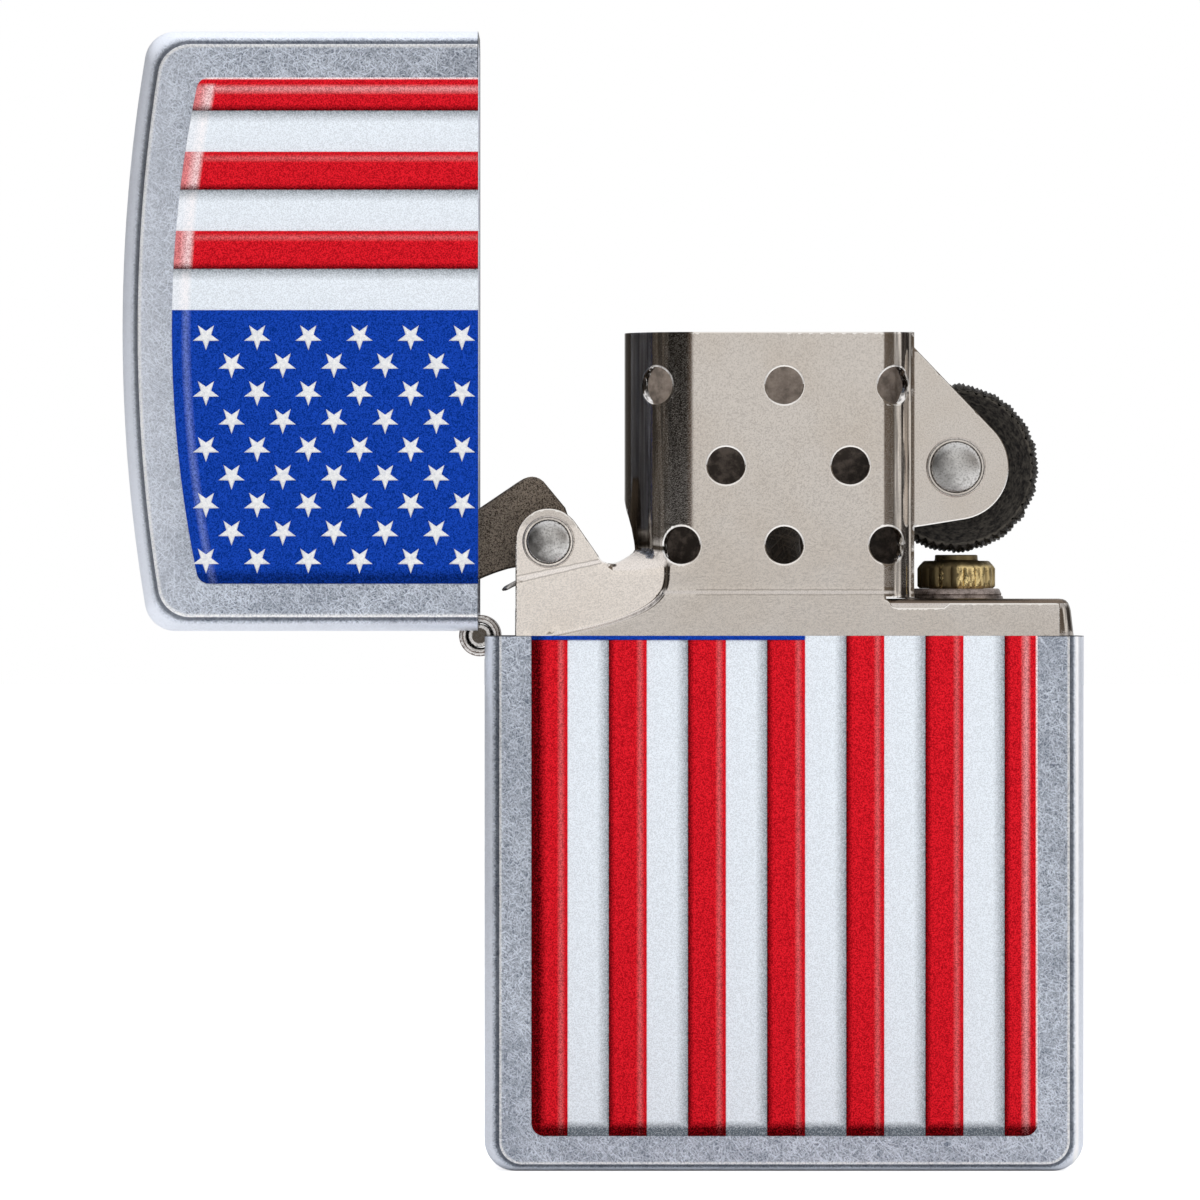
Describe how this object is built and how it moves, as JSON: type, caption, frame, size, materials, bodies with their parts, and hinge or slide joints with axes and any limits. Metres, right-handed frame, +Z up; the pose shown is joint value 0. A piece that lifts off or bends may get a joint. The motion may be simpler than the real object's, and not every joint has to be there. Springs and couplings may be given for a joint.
{
  "type": "flip-top lighter",
  "caption": "Flip-top windproof petrol lighter with a hinged domed lid, raised stripe and star print, lift-out insert, perforated chimney, cam lever and spark wheel.",
  "frame": {"origin": "centre of the case's flat base", "axes": "+Z up the case, +X from the lid hinge to the spark wheel, -Y out of the printed front; at rest the lid stands open at a right angle"},
  "size_m": [0.0612, 0.0132, 0.0724],
  "materials": {
    "street_chrome": "satin with a dense haze of random scratches",
    "print_red": "raised grainy print",
    "print_blue": "raised grainy print",
    "insert_nickel": "warm grey, fine grain",
    "cam_steel": "dark, grainy",
    "wheel_steel": "blackened, knurled",
    "spring_steel": "polished",
    "brass": "satin",
    "flint_alloy": "matte",
    "cotton": "fibrous",
    "felt": "felted"
  },
  "bodies": {
    "case": {"case_shell": "street_chrome", "case_hinge_leaf": "insert_nickel", "case_flag_print": "print_red"},
    "hinge_pin": {"hinge_pin": "spring_steel"},
    "lid": {"lid_shell": "street_chrome", "lid_hinge_leaf": "insert_nickel", "lid_flag_print": "print_blue"},
    "insert": {"insert_shell": "insert_nickel", "insert_deck": "insert_nickel", "cam_rivet": "insert_nickel", "wheel_rivet": "insert_nickel", "cam_spring": "spring_steel", "cam_spring_rivet": "insert_nickel", "flint_tube": "brass", "flint_tube_washer": "wheel_steel", "flint_spring": "spring_steel", "flint_screw": "brass", "wick": "cotton", "packing_pad_top": "cotton", "packing_pad_middle": "cotton", "packing_pad_bottom": "cotton", "felt_pad": "felt"},
    "cam": {"cam_lever": "cam_steel"},
    "wheel": {"flint_wheel": "wheel_steel"},
    "flint": {"flint": "flint_alloy", "flint_plunger": "brass"}
  },
  "joints": [
    {"name": "lid_swing", "type": "hinge", "parent": "case", "child": "hinge_pin", "pos_m": [-0.01935, 0, 0.034], "axis": [0, -1, 0], "range_deg": [-90, 0]},
    {"name": "lid_overtravel", "type": "hinge", "parent": "hinge_pin", "child": "lid", "pos_m": [-0.01935, 0, 0.034], "axis": [0, -1, 0], "range_deg": [0, 40]},
    {"name": "insert_lift", "type": "slide", "parent": "case", "child": "insert", "axis": [0, 0, 1], "range_m": [0, 0.026]},
    {"name": "cam_swing", "type": "hinge", "parent": "insert", "child": "cam", "pos_m": [-0.01497, 0, 0.03997], "axis": [0, -1, 0], "range_deg": [-102, 0.5]},
    {"name": "wheel_spin", "type": "hinge", "parent": "insert", "child": "wheel", "pos_m": [0.01095, 0, 0.04472], "axis": [0, -1, 0], "continuous": true},
    {"name": "flint_feed", "type": "slide", "parent": "insert", "child": "flint", "axis": [0, 0, 1], "range_m": [-0.0015, 0], "deforming": ["flint_spring"]}
  ],
  "couplings": [
    {"joint": "cam_swing", "follows": "lid_swing", "ratio": 1.13}
  ]
}
